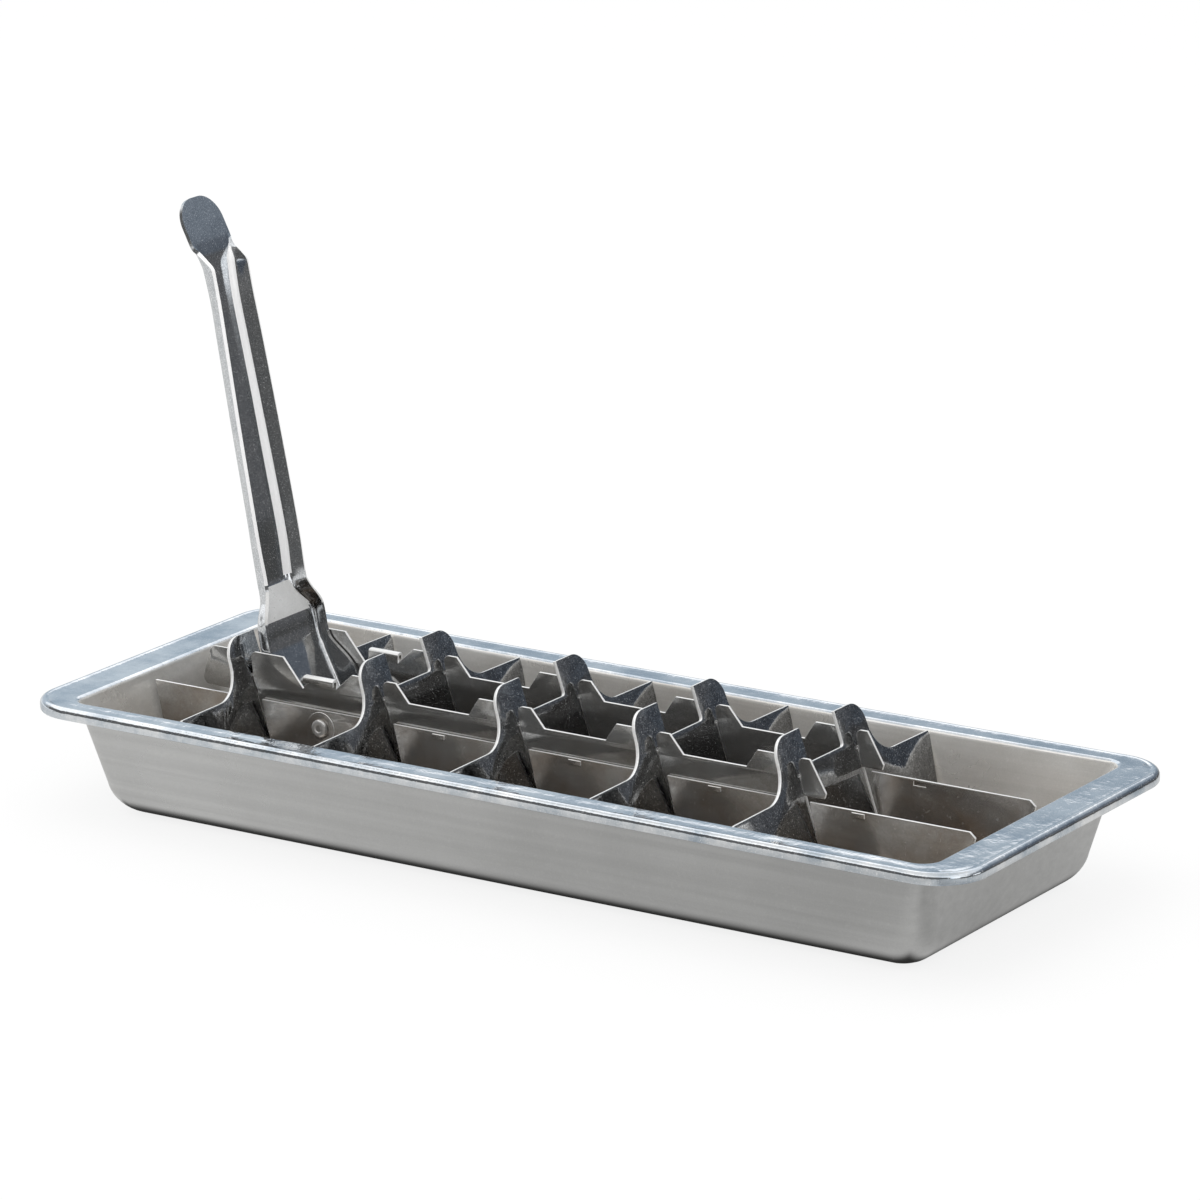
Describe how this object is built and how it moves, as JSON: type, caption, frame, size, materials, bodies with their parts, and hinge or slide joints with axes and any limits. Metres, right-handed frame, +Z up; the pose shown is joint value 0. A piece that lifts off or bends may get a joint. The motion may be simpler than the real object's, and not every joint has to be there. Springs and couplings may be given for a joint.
{
  "type": "lever ice cube tray",
  "caption": "Stainless steel ice cube tray with a lift-out grid whose lever slides two toothed strips and tilts the cross blades to free the ice.",
  "frame": {"origin": "middle of the tray on the surface it stands on", "axes": "+X along the tray away from the raised lever, +Y to the back, +Z up"},
  "size_m": [0.2816, 0.112, 0.1565],
  "materials": {
    "pan_steel": "satin walls, polished rim",
    "strip_steel": "satin",
    "blade_steel": "polished",
    "lever_steel": "polished",
    "rivet_steel": "polished"
  },
  "bodies": {
    "tray": {"tray_pan": "pan_steel"},
    "grid_frame": {"front_lower_strip": "strip_steel", "back_lower_strip": "strip_steel", "front_rivet": "rivet_steel", "back_rivet": "rivet_steel"},
    "front_slider": {"front_upper_strip": "strip_steel"},
    "back_slider": {"back_upper_strip": "strip_steel"},
    "lever": {"release_lever": "lever_steel"},
    "blade_1_body": {"blade_1": "blade_steel"},
    "blade_2_body": {"blade_2": "blade_steel"},
    "blade_3_body": {"blade_3": "blade_steel"},
    "blade_4_body": {"blade_4": "blade_steel"},
    "blade_5_body": {"blade_5": "blade_steel"}
  },
  "joints": [
    {"name": "grid_lift_out", "type": "slide", "parent": "tray", "child": "grid_frame", "axis": [0, 0, 1], "range_m": [0, 0.05]},
    {"name": "lever_hinge", "type": "hinge", "parent": "grid_frame", "child": "lever", "pos_m": [-0.0731, 0, 0.024], "axis": [0, 1, 0], "range_deg": [0, 78]},
    {"name": "front_strip_slide", "type": "slide", "parent": "grid_frame", "child": "front_slider", "axis": [1, 0, 0], "range_m": [0, 0.002]},
    {"name": "back_strip_slide", "type": "slide", "parent": "grid_frame", "child": "back_slider", "axis": [1, 0, 0], "range_m": [0, 0.002]},
    {"name": "blade_1_hinge", "type": "hinge", "parent": "grid_frame", "child": "blade_1_body", "pos_m": [-0.08921, 0, 0.0145], "axis": [0, 1, 0], "range_deg": [0, 5.51]},
    {"name": "blade_2_hinge", "type": "hinge", "parent": "grid_frame", "child": "blade_2_body", "pos_m": [-0.04746, 0, 0.0145], "axis": [0, 1, 0], "range_deg": [0, 5.51]},
    {"name": "blade_3_hinge", "type": "hinge", "parent": "grid_frame", "child": "blade_3_body", "pos_m": [-0.00571, 0, 0.0145], "axis": [0, 1, 0], "range_deg": [0, 5.51]},
    {"name": "blade_4_hinge", "type": "hinge", "parent": "grid_frame", "child": "blade_4_body", "pos_m": [0.03604, 0, 0.0145], "axis": [0, 1, 0], "range_deg": [0, 5.51]},
    {"name": "blade_5_hinge", "type": "hinge", "parent": "grid_frame", "child": "blade_5_body", "pos_m": [0.07779, 0, 0.0145], "axis": [0, 1, 0], "range_deg": [0, 5.51]}
  ],
  "couplings": [
    {"joint": "front_strip_slide", "follows": "lever_hinge", "m_per_rad": 0.0014618},
    {"joint": "back_strip_slide", "follows": "lever_hinge", "m_per_rad": 0.0014618},
    {"joint": "blade_1_hinge", "follows": "lever_hinge", "ratio": 0.070513},
    {"joint": "blade_2_hinge", "follows": "lever_hinge", "ratio": 0.070513},
    {"joint": "blade_3_hinge", "follows": "lever_hinge", "ratio": 0.070513},
    {"joint": "blade_4_hinge", "follows": "lever_hinge", "ratio": 0.070513},
    {"joint": "blade_5_hinge", "follows": "lever_hinge", "ratio": 0.070513}
  ]
}
